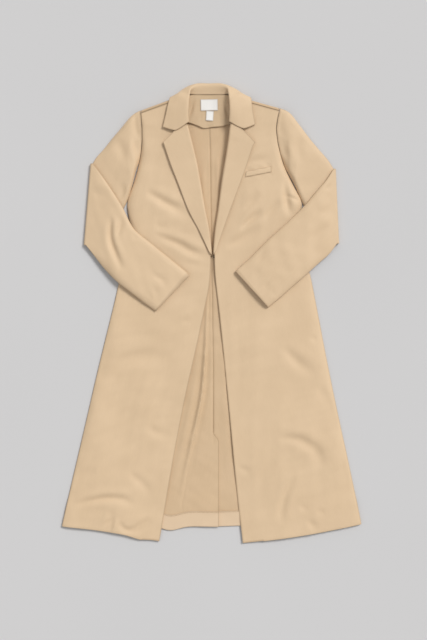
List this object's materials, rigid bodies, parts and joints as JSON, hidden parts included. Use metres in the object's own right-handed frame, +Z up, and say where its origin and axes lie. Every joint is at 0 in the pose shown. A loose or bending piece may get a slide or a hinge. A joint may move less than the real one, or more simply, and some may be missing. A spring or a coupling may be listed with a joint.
{
  "type": "long blazer",
  "caption": "Long camel blazer laid flat, notched lapels, collar open at the neck, sleeves folded over the fronts, closed at the waist by a hook and eye",
  "frame": {"origin": "on the surface it lies on, below the middle of the garment's outline", "axes": "+X to the viewer's right across the shoulders, +Y from the hem to the collar, +Z up off the surface"},
  "size_m": [0.8065, 1.2389, 0.0367],
  "materials": {
    "face_cloth": "smooth fine suiting, soft satiny sheen, camel",
    "inside_cloth": "wrong side of the suiting, duller camel",
    "facing_cloth": "neck facing of the same suiting",
    "label_tape": "woven tape, off-white, blank",
    "dark_metal": "dark lacquered wire"
  },
  "bodies": {
    "root": {"back_left": "inside_cloth", "back_right": "inside_cloth", "back_neck_facing": "facing_cloth", "front_left": "face_cloth", "front_right": "face_cloth", "front_facing_left": "face_cloth", "front_facing_right": "face_cloth", "under_collar": "face_cloth", "top_collar": "face_cloth", "top_sleeve_left": "face_cloth", "top_sleeve_right": "face_cloth", "under_sleeve_left": "face_cloth", "under_sleeve_right": "face_cloth", "breast_welt": "face_cloth", "neck_label": "label_tape", "size_tab": "label_tape", "hook": "dark_metal", "eye": "dark_metal"}
  },
  "joints": []
}
